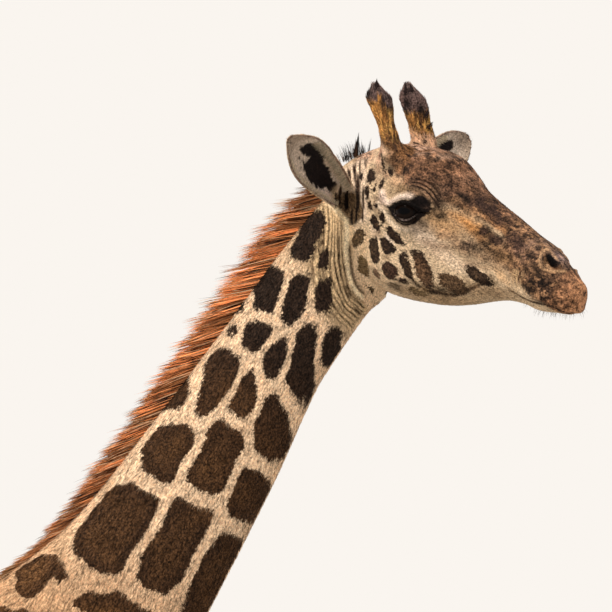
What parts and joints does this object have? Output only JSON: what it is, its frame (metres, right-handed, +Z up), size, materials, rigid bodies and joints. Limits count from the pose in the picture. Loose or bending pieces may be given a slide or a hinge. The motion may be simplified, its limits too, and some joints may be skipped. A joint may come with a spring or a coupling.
{
  "type": "giraffe",
  "caption": "Life-size still model of a standing female Masai giraffe with raised neck and turned head.",
  "frame": {"origin": "on the floor under the middle of the bounding box", "axes": "+Z up, +X the way the trunk and neck face, +Y the animal's left side; the head is turned towards -Y"},
  "size_m": [3.0006, 0.6798, 4.1014],
  "materials": {
    "coat": "short flat fur, dark brown patches with ragged edges on cream",
    "mane": "stiff upright reddish-brown hair",
    "tail_tuft": "long coarse black hair",
    "ossicone": "furred horn, golden-brown stem and blackish tufted knob",
    "eye": "wet, dark brown, glossy",
    "horn": "dull dark hoof horn"
  },
  "bodies": {
    "root": {"hindleg_right_upper": "coat", "hindleg_right_cannon": "coat", "hindleg_right_pastern": "coat", "hindleg_left_upper": "coat", "hindleg_left_cannon": "coat", "hindleg_left_pastern": "coat", "foreleg_right_upper": "coat", "foreleg_right_cannon": "coat", "foreleg_right_pastern": "coat", "foreleg_left_upper": "coat", "foreleg_left_cannon": "coat", "foreleg_left_pastern": "coat", "trunk": "coat", "neck_lower": "coat", "neck_middle": "coat", "neck_upper": "coat", "head": "coat", "lower_jaw": "coat", "eye_left": "eye", "ear_left": "coat", "ossicone_left": "ossicone", "hoof_fore_left_outer": "horn", "hoof_fore_left_inner": "horn", "hoof_hind_left_outer": "horn", "hoof_hind_left_inner": "horn", "eye_right": "eye", "ear_right": "coat", "ossicone_right": "ossicone", "hoof_fore_right_outer": "horn", "hoof_fore_right_inner": "horn", "hoof_hind_right_outer": "horn", "hoof_hind_right_inner": "horn", "tail": "coat", "tail_tuft": "tail_tuft", "mane": "mane"}
  },
  "joints": []
}
